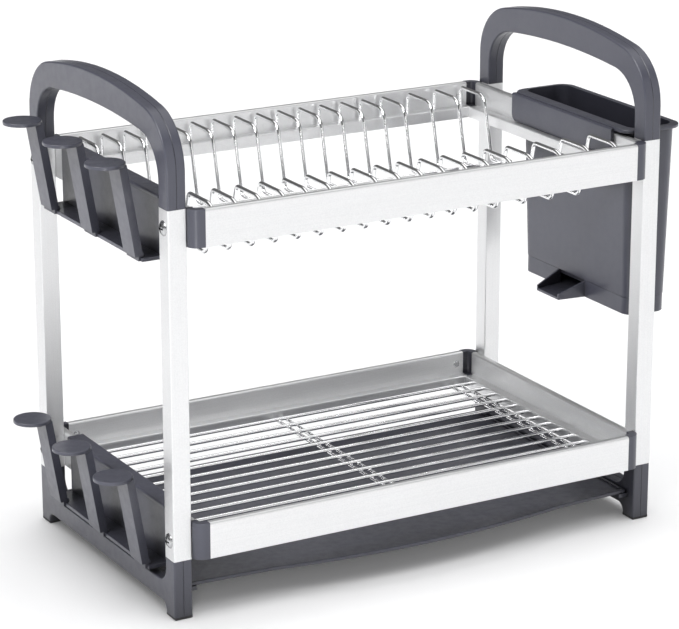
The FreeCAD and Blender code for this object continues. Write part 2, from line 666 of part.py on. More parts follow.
# ---------------------------------------------------------------- drip tray
def tray_outline(sketch, inset):
    """Plan of the tray: straight back and sides, front bowed out between two shoulders."""
    half = S["tray_half"] - inset
    back = S["tray_back"] - inset
    front = -(S["tray_front"] - inset)
    shoulder_x, shoulder_y = 129.5, -(116.2 - inset)
    peak = -(S["tray_bow"] - inset)
    corners = [V(-half, front, 0), V(-half, back, 0), V(half, back, 0), V(half, front, 0)]
    for start in range(3):
        sketch.addGeometry(Part.LineSegment(corners[start], corners[start + 1]), False)
    right, left = V(shoulder_x, shoulder_y, 0), V(-shoulder_x, shoulder_y, 0)
    sketch.addGeometry(Part.LineSegment(corners[3], right), False)
    sketch.addGeometry(Part.Arc(right, V(0, peak, 0), left), False)
    sketch.addGeometry(Part.LineSegment(left, corners[0]), False)


def tray_slope(body, kind, name, top_inset, top_level, floor_level):
    """Loft from a tray outline at one height to the flat middle of the tray."""
    floor = new_sketch(body, "XY_Plane", f"{name}_middle", floor_level)
    tray_outline(floor, 60.0)
    brim = new_sketch(body, "XY_Plane", f"{name}_brim", top_level)
    tray_outline(brim, top_inset)
    taper(body, kind, name, floor, brim)


def build_tray():
    """Shallow drip tray: a thin lip round a floor that falls gently to its middle."""
    body = new_body("drip_tray")
    rim, flange_low, lip, lip_wide = S["tray_rim"], 21.4, 1.4, 2.2
    flange = new_sketch(body, "XY_Plane", "tray_flange", flange_low)
    tray_outline(flange, 0.0)
    pad(body, flange, "tray_rim_plate", rim - flange_low)

    def outer_edge(edge):
        """A level edge of the plate."""
        return abs(edge.Vertexes[0].Z - edge.Vertexes[-1].Z) < 1e-3

    soften(body, "Fillet", "tray_soft_edge", 0.8, outer_edge)
    tray_slope(body, "AdditiveLoft", "tray_belly", 4.0, flange_low + 0.6, 17.4)
    dish = new_sketch(body, "XY_Plane", "tray_dish", rim)
    tray_outline(dish, lip_wide)
    pocket(body, dish, "tray_lip", lip)
    tray_slope(body, "SubtractiveLoft", "tray_fall", lip_wide, rim - lip, 19.2)


# ---------------------------------------------------------------- cup holders
def build_cup_holders():
    """The same hook-on holder on each tier's left end: cradled back, floor, and three capped arms."""
    half = S["cup_half"]
    pitch = S["cup_pitch"]
    near, far = -FRAME_X - 0.5, -FRAME_X - 6.0
    wall = 2.6
    hook_in, hook_wall = -FRAME_X + 8.5, 2.2
    for tier, alias in TIERS.items():
        bottom = S[alias]
        tag = f"{tier}_cup_holder"
        body = new_body(tag)
        low = bottom - 17.2
        hook_low = bottom + S["rail_height"] + 0.3
        hook_top = hook_low + 2.8
        profile = new_sketch(body, "XZ_Plane", f"profile_{tag}")
        loop(profile, [V(-FRAME_X - 19.3, low, 0), V(near, low, 0), V(near, hook_low, 0),
                       V(hook_in - hook_wall, hook_low, 0), V(hook_in - hook_wall, bottom + 20.0, 0),
                       V(hook_in, bottom + 20.0, 0), V(hook_in, hook_top, 0), V(far, hook_top, 0),
                       V(far, low + wall, 0), V(-FRAME_X - 19.3, low + wall, 0)], {6: 1.2, 7: 1.6})
        pad(body, profile, f"back_{tag}", 2 * half, "2 * Sizes.cup_half", midplane=True)
        cradles = new_sketch(body, "XY_Plane", f"cradles_{tag}", hook_low)
        deepest, cusp_x, outside = near - 2.6, near - 5.6, far - 30.0
        cusps = [V(cusp_x, step * pitch, 0) for step in (-1.5, -0.5, 0.5, 1.5)]
        for start, end in zip(cusps, cusps[1:]):
            cradles.addGeometry(Part.Arc(start, V(deepest, (start.y + end.y) / 2, 0), end), False)
        first, last = V(outside, cusps[0].y, 0), V(outside, cusps[-1].y, 0)
        for start, end in ((cusps[-1], last), (last, first), (first, cusps[0])):
            cradles.addGeometry(Part.LineSegment(start, end), False)
        pocket(body, cradles, f"scooped_{tag}", hook_low - low - wall)
        add_cup_arms(body, tag, bottom)


def add_cup_arms(body, tag, bottom):
    """Three leaning channel arms, each with a foot and a round cap."""
    wide, deep, wall = 20.0, 6.4, 2.6
    arm_low, arm_high = bottom - 13.8, bottom + 56.0
    low_x, high_x = -FRAME_X - 23.5, -FRAME_X - 35.0
    lean = (high_x - low_x) / (arm_high - arm_low)
    cap_top, cap_tall, cap_radius = bottom + 57.7, 2.6, 15.0
    middles = [number * S["cup_pitch"] for number in (-1, 0, 1)]

    def slanted(sketch, inset):
        """Side view of an arm, with its outer face moved in."""
        loop(sketch, [V(low_x + inset, arm_low, 0), V(low_x + deep, arm_low, 0),
                      V(high_x + deep, arm_high, 0), V(high_x + inset, arm_high, 0)])

    def open_slant(sketch):
        """The hollow of the channel, run out past its open side and both ends."""
        past = 3.0
        loop(sketch, [V(low_x + wall - lean * past, arm_low - past, 0),
                      V(low_x + deep + past - lean * past, arm_low - past, 0),
                      V(high_x + deep + past + lean * past, arm_high + past, 0),
                      V(high_x + wall + lean * past, arm_high + past, 0)])

    feet = new_sketch(body, "XY_Plane", f"feet_{tag}", bottom - 17.2)
    for middle in middles:
        box_lines(feet, (-FRAME_X - 21.0, middle - wide / 2), (-FRAME_X - 16.6, middle + wide / 2))
    pad(body, feet, f"links_{tag}", 6.2)
    for number, middle in enumerate(middles, start=1):
        arm = new_sketch(body, "XZ_Plane", f"arm_{number}_{tag}", -middle)
        slanted(arm, 0.0)
        pad(body, arm, f"channel_{number}_{tag}", wide, midplane=True)
        hollow = new_sketch(body, "XZ_Plane", f"hollow_{number}_{tag}", -middle)
        open_slant(hollow)
        pocket(body, hollow, f"hollowed_{number}_{tag}", wide - 2 * wall, midplane=True)
    caps = new_sketch(body, "XY_Plane", f"caps_{tag}", cap_top - cap_tall)
    for middle in middles:
        caps.addGeometry(Part.Circle(V(-FRAME_X - 41.2, middle, 0), V(0, 0, 1), cap_radius), False)
    pad(body, caps, f"discs_{tag}", cap_tall)

    def rim(edge):
        """A cap's round edge."""
        around = abs(edge.Length - 2 * math.pi * cap_radius) < 8.0
        return around and abs(edge.CenterOfMass.z - cap_top) < 0.01

    soften(body, "Fillet", f"cap_edges_{tag}", 0.7, rim)


# ---------------------------------------------------------------- cutlery caddy
def rounded_sketch(body, name, level, low, high, radius):
    """A sketch of a rounded rectangle at one height."""
    sketch = new_sketch(body, "XY_Plane", name, level)
    loop(sketch, [V(low[0], low[1], 0), V(high[0], low[1], 0), V(high[0], high[1], 0), V(low[0], high[1], 0)],
         {0: radius, 1: radius, 2: radius, 3: radius})
    return sketch


def build_caddy():
    """Cutlery caddy hooked over the right end rail."""
    body = new_body("cutlery_caddy")
    wall = 2.2
    low, top = S["caddy_low"], S["caddy_top"]
    rim_low = top - 3.0
    rail_top = S["upper_tier"] + S["rail_height"]
    base_low, base_high = (205.8, -98.3), (244.0, 56.7)
    top_low, top_high = (201.0, -102.2), (246.0, 59.2)
    taper(body, "AdditiveLoft", "caddy_walls",
          rounded_sketch(body, "caddy_base_outline", low, base_low, base_high, 10.0),
          rounded_sketch(body, "caddy_top_outline", rim_low, top_low, top_high, 11.0))
    lip = rounded_sketch(body, "caddy_lip_outline", rim_low, (193.5, -105.8), (249.5, 61.0), 12.5)
    pad(body, lip, "caddy_lip", top - rim_low)

    def lip_edge(edge):
        """An edge round the outside of the lip."""
        flat = all(abs(vertex.Z - top) < 1e-3 for vertex in edge.Vertexes)
        return flat or all(abs(vertex.Z - rim_low) < 1e-3 and on_lip_side(vertex) for vertex in edge.Vertexes)

    def on_lip_side(vertex):
        return vertex.X > 247.5 or vertex.Y < -104.5 or vertex.Y > 60.5

    soften(body, "Fillet", "caddy_soft_lip", 0.9, lip_edge)
    hook = new_sketch(body, "XZ_Plane", "caddy_hook", 16.0)
    hook_x = FRAME_X - 8.8
    loop(hook, [V(hook_x, rail_top - 19.0, 0), V(hook_x + 2.4, rail_top - 19.0, 0),
                V(hook_x + 2.4, rail_top + 0.3, 0), V(203.0, rail_top + 0.3, 0), V(203.0, top - 1.0, 0),
                V(hook_x, top - 1.0, 0)], {5: 1.5})
    pad(body, hook, "caddy_hook_rail", 144.0, midplane=True)

    def hook_corner(edge):
        """An upright-plane corner at the foot of the hook."""
        low_down = all(abs(vertex.Z - (rail_top - 19.0)) < 1e-3 for vertex in edge.Vertexes)
        return low_down and abs(edge.Vertexes[0].X - edge.Vertexes[-1].X) > 1.0

    soften(body, "Fillet", "caddy_hook_corners", 6.0, hook_corner)
    inner_low = rounded_sketch(body, "caddy_inner_base", low + 2.4, (base_low[0] + wall, base_low[1] + wall),
                               (base_high[0] - wall, base_high[1] - wall), 8.0)
    inner_top = rounded_sketch(body, "caddy_inner_top", top + 0.5, (top_low[0] + wall, top_low[1] + wall),
                               (top_high[0] - wall, top_high[1] - wall), 9.0)
    taper(body, "SubtractiveLoft", "caddy_inside", inner_low, inner_top)
    skirt = rounded_sketch(body, "caddy_skirt_outline", low - 4.0, (208.5, -95.5), (241.3, 53.9), 7.4)
    pad(body, skirt, "caddy_skirt", 4.5)
    bore = rounded_sketch(body, "caddy_skirt_inside", low, (210.3, -93.7), (239.5, 52.1), 5.6)
    pocket(body, bore, "caddy_skirt_bore", 5.0)
    drains = new_sketch(body, "XY_Plane", "caddy_drains", low + 3.0)
    for number in range(-3, 4):
        middle = 20.0 * number - 20.8
        corners = [V(213, middle - 3, 0), V(237, middle - 3, 0), V(237, middle + 3, 0), V(213, middle + 3, 0)]
        loop(drains, corners, dict.fromkeys(range(4), 2.9))
    pocket(body, drains, "caddy_drained", 4.0)


def build_water_cup():
    """Shallow cup under the caddy, with an open spout that reaches in over the lower shelf."""
    body = new_body("caddy_water_cup")
    wall, floor = 2.2, 2.0
    low = S["cup_low"]
    rim = S["caddy_low"] - 0.3
    outline = rounded_sketch(body, "cup_outline", low, (206.0, -98.0), (243.8, 56.4), 10.0)
    pad(body, outline, "cup_block", rim - low)
    inside = rounded_sketch(body, "cup_inside", rim,
                            (206.0 + wall, -98.0 + wall), (243.8 - wall, 56.4 - wall), 7.8)
    pocket(body, inside, "cup_hollow", rim - low - floor)
    root_x, tip_x = 206.0 + wall, 182.0
    root, tip = (-36.0, 5.0), (-33.0, -1.0)

    def chute(name, kind, inset, bottom, root_top, tip_top, reach):
        """A tapering chute from the cup's wall to its tip."""
        ends = []
        for label, place, sides, height in (("root", root_x, root, root_top), ("tip", reach, tip, tip_top)):
            sketch = new_sketch(body, "YZ_Plane", f"{name}_{label}", place)
            box_lines(sketch, (sides[0] + inset, bottom), (sides[1] - inset, height))
            ends.append(sketch)
        taper(body, kind, name, *ends)

    chute("spout", "AdditiveLoft", 0.0, low, rim, low + 4.6, tip_x)
    chute("spout_channel", "SubtractiveLoft", 1.8, low + floor, rim + 3.0, low + 9.0, tip_x - 1.0)


# ---------------------------------------------------------------- build, check, write
def main():
    """Build every sub-part, check the document, then write one file per node."""
    build_posts()
    build_end_frames()
    build_foot_pads()
    build_long_rails()
    build_end_rails()
    build_corners()
    build_fasteners()
    build_dividers()
    build_rods()
    build_tray()
    build_cup_holders()
    build_caddy()
    build_water_cup()
    DOC.recompute()
    for item in DOC.Objects:
        if "Invalid" in item.State or "Error" in item.State:
            raise RuntimeError(f"{item.Label} did not compute: {item.State}")
    for node in NODES:
        if node.Shape.isNull() or not node.Shape.isValid():
            raise RuntimeError(f"{node.Label} has no valid shape")
    os.makedirs("parts", exist_ok=True)
    for node in NODES:
        node.Shape.exportStep(f"parts/{node.Label}.step")
        print(f"{node.Label}: {len(node.Shape.Solids)} solid(s), {node.Shape.Volume:.0f} mm3")
    print(f"{len(NODES)} nodes")


main()
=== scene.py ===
"""Two-tier dish drying rack: its finishes, weld beads, studio and camera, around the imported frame."""

from __future__ import annotations

import logging
import math
from dataclasses import dataclass, field
from enum import Enum

import bmesh
import bpy
from mathutils import Euler, Matrix, Vector

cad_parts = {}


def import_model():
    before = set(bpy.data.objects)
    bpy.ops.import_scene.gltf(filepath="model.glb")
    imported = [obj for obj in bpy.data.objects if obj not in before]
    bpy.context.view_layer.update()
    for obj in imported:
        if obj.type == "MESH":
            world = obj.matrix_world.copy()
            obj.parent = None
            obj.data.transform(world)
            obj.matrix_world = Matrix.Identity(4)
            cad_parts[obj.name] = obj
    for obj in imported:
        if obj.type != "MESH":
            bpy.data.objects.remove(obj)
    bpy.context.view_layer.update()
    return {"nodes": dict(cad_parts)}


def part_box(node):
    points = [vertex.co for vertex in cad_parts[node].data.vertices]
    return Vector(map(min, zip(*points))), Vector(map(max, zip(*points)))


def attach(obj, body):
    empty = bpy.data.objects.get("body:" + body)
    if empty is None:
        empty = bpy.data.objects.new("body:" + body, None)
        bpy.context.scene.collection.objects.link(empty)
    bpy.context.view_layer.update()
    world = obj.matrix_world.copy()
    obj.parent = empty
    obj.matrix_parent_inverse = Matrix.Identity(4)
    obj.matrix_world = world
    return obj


LOG = logging.getLogger("dish_rack")
MM = 0.001
FACES = ("front", "back")
ENDS = ("left", "right")
MIDDLE_OF_NOISE = (0.3, 0.7)


class Grain(Enum):
    """Direction of the brushing on a metal bar, as the axis that the scratches follow."""

    ALONG_X = 0
    ALONG_Y = 1
    ALONG_Z = 2


class Graph:
    """A material's node tree, with short ways to add and join nodes."""

    samples: int = 4
    edge_span: tuple[float, float] = (0.99, 0.8)
    open_span: tuple[float, float] = (0.25, 0.95)

    def __init__(self, name: str) -> None:
        """Start an empty material with an output and a principled shader.

        Args:
            name: The material's name.
        """
        self.material = bpy.data.materials.new(name)
        self.material.use_nodes = True
        self.tree = self.material.node_tree
        self.tree.nodes.clear()
        output = self.tree.nodes.new("ShaderNodeOutputMaterial")
        self.shader = self.tree.nodes.new("ShaderNodeBsdfPrincipled")
        self.join(self.shader.outputs["BSDF"], output.inputs["Surface"])

    def join(self, source: bpy.types.NodeSocket, target: bpy.types.NodeSocket) -> None:
        """Link two sockets."""
        self.tree.links.new(source, target)

    def set(self, **values: float | tuple[float, ...]) -> None:
        """Set plain values on the shader's own sockets.

        Args:
            values: Socket names with underscores for spaces, in lower case, and their values.
        """
        sockets = {socket.name.lower().replace(" ", "_"): socket for socket in self.shader.inputs}
        for name, value in values.items():
            sockets[name].default_value = value

    def stretched(self, scale: tuple[float, float, float]) -> bpy.types.NodeSocket:
        """Give a point's position in the piece's own frame, scaled on each axis.

        Args:
            scale: Factors for X, Y and Z.

        Returns:
            The scaled position's socket.
        """
        place = self.tree.nodes.new("ShaderNodeTexCoord")
        mapping = self.tree.nodes.new("ShaderNodeMapping")
        mapping.inputs["Scale"].default_value = scale
        self.join(place.outputs["Object"], mapping.inputs["Vector"])
        return mapping.outputs["Vector"]

    def noise(self, scale: tuple[float, float, float], detail: float = 2.0) -> bpy.types.NodeSocket:
        """Add a noise texture, 0 to 1.

        Args:
            scale: Cycles per metre on each axis.
            detail: Octaves of finer noise.

        Returns:
            The noise value's socket.
        """
        texture = self.tree.nodes.new("ShaderNodeTexNoise")
        texture.inputs["Scale"].default_value = 1.0
        texture.inputs["Detail"].default_value = detail
        self.join(self.stretched(scale), texture.inputs["Vector"])
        return texture.outputs["Fac"]

    def remap(self, value: bpy.types.NodeSocket, source: tuple[float, float],
              target: tuple[float, float]) -> bpy.types.NodeSocket:
        """Map one range of values to another, clamped.

        Args:
            value: The value's socket.
            source: Low and high of the incoming range.
            target: Low and high of the outgoing range.

        Returns:
            The mapped value's socket.
        """
        node = self.tree.nodes.new("ShaderNodeMapRange")
        node.inputs["From Min"].default_value = source[0]
        node.inputs["From Max"].default_value = source[1]
        node.inputs["To Min"].default_value = target[0]
        node.inputs["To Max"].default_value = target[1]
        self.join(value, node.inputs["Value"])
        return node.outputs["Result"]

    def math(self, operation: str, first: bpy.types.NodeSocket,
             second: bpy.types.NodeSocket | float) -> bpy.types.NodeSocket:
        """Combine two values.

        Args:
            operation: A math node's operation.
            first: The first value's socket.
            second: The second value's socket, or a number.

        Returns:
            The result's socket.
        """
        node = self.tree.nodes.new("ShaderNodeMath")
        node.operation = operation
        self.join(first, node.inputs[0])
        if isinstance(second, float):
            node.inputs[1].default_value = second
        else:
            self.join(second, node.inputs[1])
        return node.outputs["Value"]

    def mix(self, factor: bpy.types.NodeSocket, low: bpy.types.NodeSocket | tuple[float, ...],
            high: bpy.types.NodeSocket | tuple[float, ...]) -> bpy.types.NodeSocket:
        """Blend two colours.

        Args:
            factor: 0 gives low and 1 gives high.
            low: The first colour or its socket.
            high: The second colour or its socket.

        Returns:
            The blended colour's socket.
        """
        node = self.tree.nodes.new("ShaderNodeMix")
        node.data_type = "RGBA"
        self.join(factor, node.inputs["Factor"])
        for name, colour in (("A", low), ("B", high)):
            socket = next(item for item in node.inputs if item.name == name and item.type == "RGBA")
            if isinstance(colour, tuple):
                socket.default_value = (*colour, 1.0)
            else:
                self.join(colour, socket)
        return next(item for item in node.outputs if item.type == "RGBA")

    def edges(self, radius: float) -> tuple[bpy.types.NodeSocket, bpy.types.NodeSocket]:
        """Find the edges of the mesh and round their shading.

        Args:
            radius: How far the rounding reaches, in metres.

        Returns:
            The rounded normal's socket, and a value that rises from 0 to 1 at edges.
        """
        bevel = self.tree.nodes.new("ShaderNodeBevel")
        bevel.samples = self.samples
        bevel.inputs["Radius"].default_value = radius
        geometry = self.tree.nodes.new("ShaderNodeNewGeometry")
        dot = self.tree.nodes.new("ShaderNodeVectorMath")
        dot.operation = "DOT_PRODUCT"
        self.join(bevel.outputs["Normal"], dot.inputs[0])
        self.join(geometry.outputs["Normal"], dot.inputs[1])
        return bevel.outputs["Normal"], self.remap(dot.outputs["Value"], self.edge_span, (0.0, 1.0))

    def occlusion_shade(self, reach: float, target: tuple[float, float]) -> bpy.types.NodeSocket:
        """Measure how open the surface is to its surroundings, used to paint shade into seams, slots and
        recesses.

        Args:
            reach: How far other surfaces count, in metres.
            target: Values given where the surface is enclosed and where it is open.

        Returns:
            The value's socket.
        """
        node = self.tree.nodes.new("ShaderNodeAmbientOcclusion")
        node.samples = self.samples
        node.inputs["Distance"].default_value = reach
        return self.remap(node.outputs["AO"], self.open_span, target)

    def bump(self, height: bpy.types.NodeSocket, depth: float, strength: float,
             normal: bpy.types.NodeSocket | None = None) -> bpy.types.NodeSocket:
        """Raise a height into the surface normal.

        Args:
            height: The height's socket, 0 to 1.
            depth: Metres between a height of 0 and 1.
            strength: Share of the bump to use.
            normal: A normal to start from.

        Returns:
            The bumped normal's socket.
        """
        node = self.tree.nodes.new("ShaderNodeBump")
        node.inputs["Distance"].default_value = depth
        node.inputs["Strength"].default_value = strength
        self.join(height, node.inputs["Height"])
        if normal is not None:
            self.join(normal, node.inputs["Normal"])
        return node.outputs["Normal"]


@dataclass(frozen=True)
class MouldedPlastic:
    """Slate grey moulded plastic with a fine spark-eroded grain, lighter rubbed edges that also act as a
    painted highlight, and painted shade in seams and recesses.
    """

    body: tuple[float, float, float] = (0.077, 0.079, 0.105)
    deep: tuple[float, float, float] = (0.070, 0.072, 0.097)
    # Lighter edge colour: partly rubbed wear, partly a painted highlight along the edges.
    rubbed_and_highlight: tuple[float, float, float] = (0.150, 0.153, 0.185)
    # Painted shade: the near-black that seams and recesses are darkened towards.
    painted_shade: tuple[float, float, float] = (0.016, 0.016, 0.021)
    roughness: tuple[float, float] = (0.30, 0.42)
    grain_roughness: tuple[float, float] = (-0.03, 0.03)
    ior: float = 1.46
    coat: float = 0.35
    coat_roughness: float = 0.16
    edge_radius: float = 0.3 * MM
    edge_wear_and_highlight: tuple[float, float] = (0.05, 0.5)
    # Reach and strength of the painted shade in seams and in deep recesses.
    seam_shade_reach: float = 2.5 * MM
    seam_shade_span: tuple[float, float] = (0.25, 1.0)
    recess_shade_reach: float = 80.0 * MM
    recess_shade_span: tuple[float, float] = (0.0, 1.0)
    cloud_per_metre: float = 22.0
    smear_per_metre: float = 160.0
    smear_span: tuple[float, float] = (0.35, 0.7)
    grain_per_metre: float = 1500.0
    grain_depth: float = 0.03 * MM
    grain_strength: float = 0.35

    def make(self, name: str) -> bpy.types.Material:
        """Build the plastic.

        Args:
            name: The material's name.

        Returns:
            The material.
        """
        graph = Graph(name)
        graph.set(metallic=0.0, ior=self.ior, coat_weight=self.coat, coat_roughness=self.coat_roughness)
        cloud = graph.noise((self.cloud_per_metre,) * 3, detail=3.0)
        normal, edge = graph.edges(self.edge_radius)
        smear = graph.noise((self.smear_per_metre,) * 3, detail=2.0)
        # Edges lightened in patches: rubbed wear that also paints a highlight along the edges.
        worn_and_highlit = graph.math("MULTIPLY", edge, graph.remap(smear, self.smear_span, self.edge_wear_and_highlight))
        base = graph.mix(graph.remap(cloud, MIDDLE_OF_NOISE, (0.0, 1.0)), self.deep, self.body)
        # Painted shade: ambient occlusion darkens seams and recesses towards a near-black.
        unshaded_share = graph.math("MULTIPLY", graph.occlusion_shade(self.seam_shade_reach, self.seam_shade_span),
                              graph.occlusion_shade(self.recess_shade_reach, self.recess_shade_span))
        graph.join(graph.mix(unshaded_share, self.painted_shade, graph.mix(worn_and_highlit, base, self.rubbed_and_highlight)),
                   graph.shader.inputs["Base Color"])
        grain = graph.noise((self.grain_per_metre,) * 3, detail=2.0)
        rough = graph.math("ADD", graph.remap(smear, MIDDLE_OF_NOISE, self.roughness),
                           graph.remap(grain, MIDDLE_OF_NOISE, self.grain_roughness))
        graph.join(rough, graph.shader.inputs["Roughness"])
        grained = graph.bump(grain, self.grain_depth, self.grain_strength, normal)
        graph.join(grained, graph.shader.inputs["Normal"])
        return graph.material


@dataclass(frozen=True)
class SatinAluminium:
    """Satin anodised aluminium, brushed along the bar, with a fine bright grain."""

    grain: Grain
    light: tuple[float, float, float] = (0.885, 0.887, 0.89)
    dark: tuple[float, float, float] = (0.79, 0.793, 0.80)
    roughness: tuple[float, float] = (0.36, 0.50)
    cloud_roughness: tuple[float, float] = (-0.03, 0.03)
    edge_radius: float = 0.5 * MM
    along_per_metre: float = 18.0
    across_per_metre: float = 1500.0
    line_tone: tuple[float, float] = (0.0, 0.45)
    speckle_per_metre: float = 1300.0
    speckle_tone: tuple[float, float] = (0.0, 0.55)
    cloud_per_metre: float = 9.0
    scratch_depth: float = 0.03 * MM
    scratch_strength: float = 0.4

    def make(self, name: str) -> bpy.types.Material:
        """Build the metal.

        Args:
            name: The material's name.

        Returns:
            The material.
        """
        graph = Graph(name)
        graph.set(metallic=1.0)
        stretch = [self.across_per_metre] * 3
        stretch[self.grain.value] = self.along_per_metre
        lines = graph.noise(tuple(stretch), detail=2.0)
        speckle = graph.noise((self.speckle_per_metre,) * 3, detail=1.0)
        cloud = graph.noise((self.cloud_per_metre,) * 3, detail=2.0)
        tone = graph.math("ADD", graph.remap(lines, MIDDLE_OF_NOISE, self.line_tone),
                          graph.remap(speckle, MIDDLE_OF_NOISE, self.speckle_tone))
        graph.join(graph.mix(tone, self.dark, self.light), graph.shader.inputs["Base Color"])
        rough = graph.math("ADD", graph.remap(lines, MIDDLE_OF_NOISE, self.roughness),
                           graph.remap(cloud, MIDDLE_OF_NOISE, self.cloud_roughness))
        graph.join(rough, graph.shader.inputs["Roughness"])
        normal, _ = graph.edges(self.edge_radius)
        height = graph.math("ADD", lines, speckle)
        scratched = graph.bump(height, self.scratch_depth, self.scratch_strength, normal)
        graph.join(scratched, graph.shader.inputs["Normal"])
        return graph.material


@dataclass(frozen=True)
class ChromedWire:
    """Polished chromed wire with slight ripples in its plating."""

    tint: tuple[float, float, float] = (0.95, 0.952, 0.958)
    dull: tuple[float, float, float] = (0.82, 0.825, 0.835)
    roughness: tuple[float, float] = (0.05, 0.12)
    haze_per_metre: float = 75.0
    haze_span: tuple[float, float] = (0.35, 0.75)
    haze_tone: tuple[float, float] = (0.0, 0.5)
    ripple_per_metre: float = 60.0
    ripple_depth: float = 0.01 * MM
    ripple_strength: float = 0.3

    def make(self, name: str) -> bpy.types.Material:
        """Build the plating.

        Args:
            name: The material's name.

        Returns:
            The material.
        """
        graph = Graph(name)
        graph.set(metallic=1.0)
        haze = graph.noise((self.haze_per_metre,) * 3, detail=3.0)
        graph.join(graph.mix(graph.remap(haze, self.haze_span, self.haze_tone), self.tint, self.dull),
                   graph.shader.inputs["Base Color"])
        graph.join(graph.remap(haze, self.haze_span, self.roughness), graph.shader.inputs["Roughness"])
        ripple = graph.noise((self.ripple_per_metre,) * 3, detail=1.0)
        rippled = graph.bump(ripple, self.ripple_depth, self.ripple_strength)
        graph.join(rippled, graph.shader.inputs["Normal"])
        return graph.material


@dataclass(frozen=True)
class BrightSteel:
    """Bright zinc-plated steel of the screws and rivets, with fine spots of tarnish and painted shade in
    the slots.
    """

    tint: tuple[float, float, float] = (0.60, 0.605, 0.615)
    # Painted shade: the near-black that the screw slots are darkened towards.
    tarnish: tuple[float, float, float] = (0.42, 0.425, 0.435)
    painted_shade: tuple[float, float, float] = (0.03, 0.03, 0.032)
    roughness: tuple[float, float] = (0.18, 0.34)
    edge_radius: float = 0.35 * MM
    # Reach of the painted shade in the slots.
    slot_shade_reach: float = 2.5 * MM
    spots_per_metre: float = 900.0
    spot_span: tuple[float, float] = (0.45, 0.75)
    spot_tone: tuple[float, float] = (0.0, 0.7)
    spot_depth: float = 0.02 * MM
    spot_strength: float = 0.3

    def make(self, name: str) -> bpy.types.Material:
        """Build the plating.

        Args:
            name: The material's name.

        Returns:
            The material.
        """
        graph = Graph(name)
        graph.set(metallic=1.0)
        spots = graph.noise((self.spots_per_metre,) * 3, detail=2.0)
        metal = graph.mix(graph.remap(spots, self.spot_span, self.spot_tone), self.tint, self.tarnish)
        # Painted shade: ambient occlusion darkens the slots and hollows towards a near-black.
        graph.join(graph.mix(graph.occlusion_shade(self.slot_shade_reach, (0.0, 1.0)), self.painted_shade, metal),
                   graph.shader.inputs["Base Color"])
        graph.join(graph.remap(spots, MIDDLE_OF_NOISE, self.roughness), graph.shader.inputs["Roughness"])
        normal, _ = graph.edges(self.edge_radius)
        pitted = graph.bump(spots, self.spot_depth, self.spot_strength, normal)
        graph.join(pitted, graph.shader.inputs["Normal"])
        return graph.material


@dataclass(frozen=True)
class MouldedRubber:
    """Black moulded rubber of the foot pads."""

    body: tuple[float, float, float] = (0.016, 0.016, 0.018)
    dusty: tuple[float, float, float] = (0.034, 0.034, 0.037)
    roughness: tuple[float, float] = (0.62, 0.82)
    ior: float = 1.52
    edge_radius: float = 0.6 * MM
    dust_per_metre: float = 420.0
    dust_span: tuple[float, float] = (0.4, 0.75)
    pebbles_per_metre: float = 1300.0
    pebble_depth: float = 0.08 * MM
    pebble_strength: float = 0.5

    def make(self, name: str) -> bpy.types.Material:
        """Build the rubber.

        Args:
            name: The material's name.

        Returns:
            The material.
        """
        graph = Graph(name)
        graph.set(metallic=0.0, ior=self.ior)
        dust = graph.noise((self.dust_per_metre,) * 3, detail=3.0)
        graph.join(graph.mix(graph.remap(dust, self.dust_span, (0.0, 1.0)), self.body, self.dusty),
                   graph.shader.inputs["Base Color"])
        graph.join(graph.remap(dust, MIDDLE_OF_NOISE, self.roughness), graph.shader.inputs["Roughness"])
        normal, _ = graph.edges(self.edge_radius)
        pebble = graph.noise((self.pebbles_per_metre,) * 3, detail=1.0)
        pebbled = graph.bump(pebble, self.pebble_depth, self.pebble_strength, normal)
        graph.join(pebbled, graph.shader.inputs["Normal"])
        return graph.material


@dataclass
class Workshop:
    """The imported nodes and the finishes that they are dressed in."""

    nodes: dict[str, bpy.types.Object]
    plastic: bpy.types.Material = field(init=False)
    wire: bpy.types.Material = field(init=False)
    steel: bpy.types.Material = field(init=False)
    rubber: bpy.types.Material = field(init=False)
    aluminium: dict[Grain, bpy.types.Material] = field(init=False)

    def __post_init__(self) -> None:
        """Make each finish once."""
        self.plastic = MouldedPlastic().make("slate_moulded_plastic")
        self.wire = ChromedWire().make("chromed_wire_plating")
        self.steel = BrightSteel().make("bright_fastener_plating")
        self.rubber = MouldedRubber().make("black_pad_rubber")
        self.aluminium = {grain: SatinAluminium(grain).make(f"satin_aluminium_{grain.name.lower()}")
                          for grain in Grain}

    def dress(self, name: str, material: bpy.types.Material) -> bpy.types.Object:
        """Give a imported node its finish.

        Args:
            name: The node's name.
            material: The finish.

        Returns:
            The node's object.
        """
        node = self.nodes[name]
        node.data.materials.clear()
        node.data.materials.append(material)
        return node


@dataclass
class Posts:
    """The four square aluminium posts."""

    shop: Workshop

    def build(self) -> int:
        """Dress the posts.

        Returns:
            How many pieces were dressed.
        """
        names = [f"post_{face}_{end}" for face in FACES for end in ENDS]
        for name in names:
            self.shop.dress(name, self.shop.aluminium[Grain.ALONG_Z])
        return len(names)


@dataclass
class EndFrames:
    """The plastic handles, base frames and their rubber pads, at both ends."""

    shop: Workshop
    kinds: tuple[str, ...] = ("handle", "base")
    layers: tuple[str, ...] = ("outer", "inner")

    def build(self) -> int:
        """Dress the shells and pads.

        Returns:
            How many pieces were dressed.
        """
        shells = [f"{kind}_{end}_{layer}"
                  for kind in self.kinds for end in ENDS for layer in self.layers]
        pads = [f"foot_pad_{face}_{end}" for face in FACES for end in ENDS]
        for name in shells:
            self.shop.dress(name, self.shop.plastic)
        for name in pads:
            self.shop.dress(name, self.shop.rubber)
        return len(shells) + len(pads)


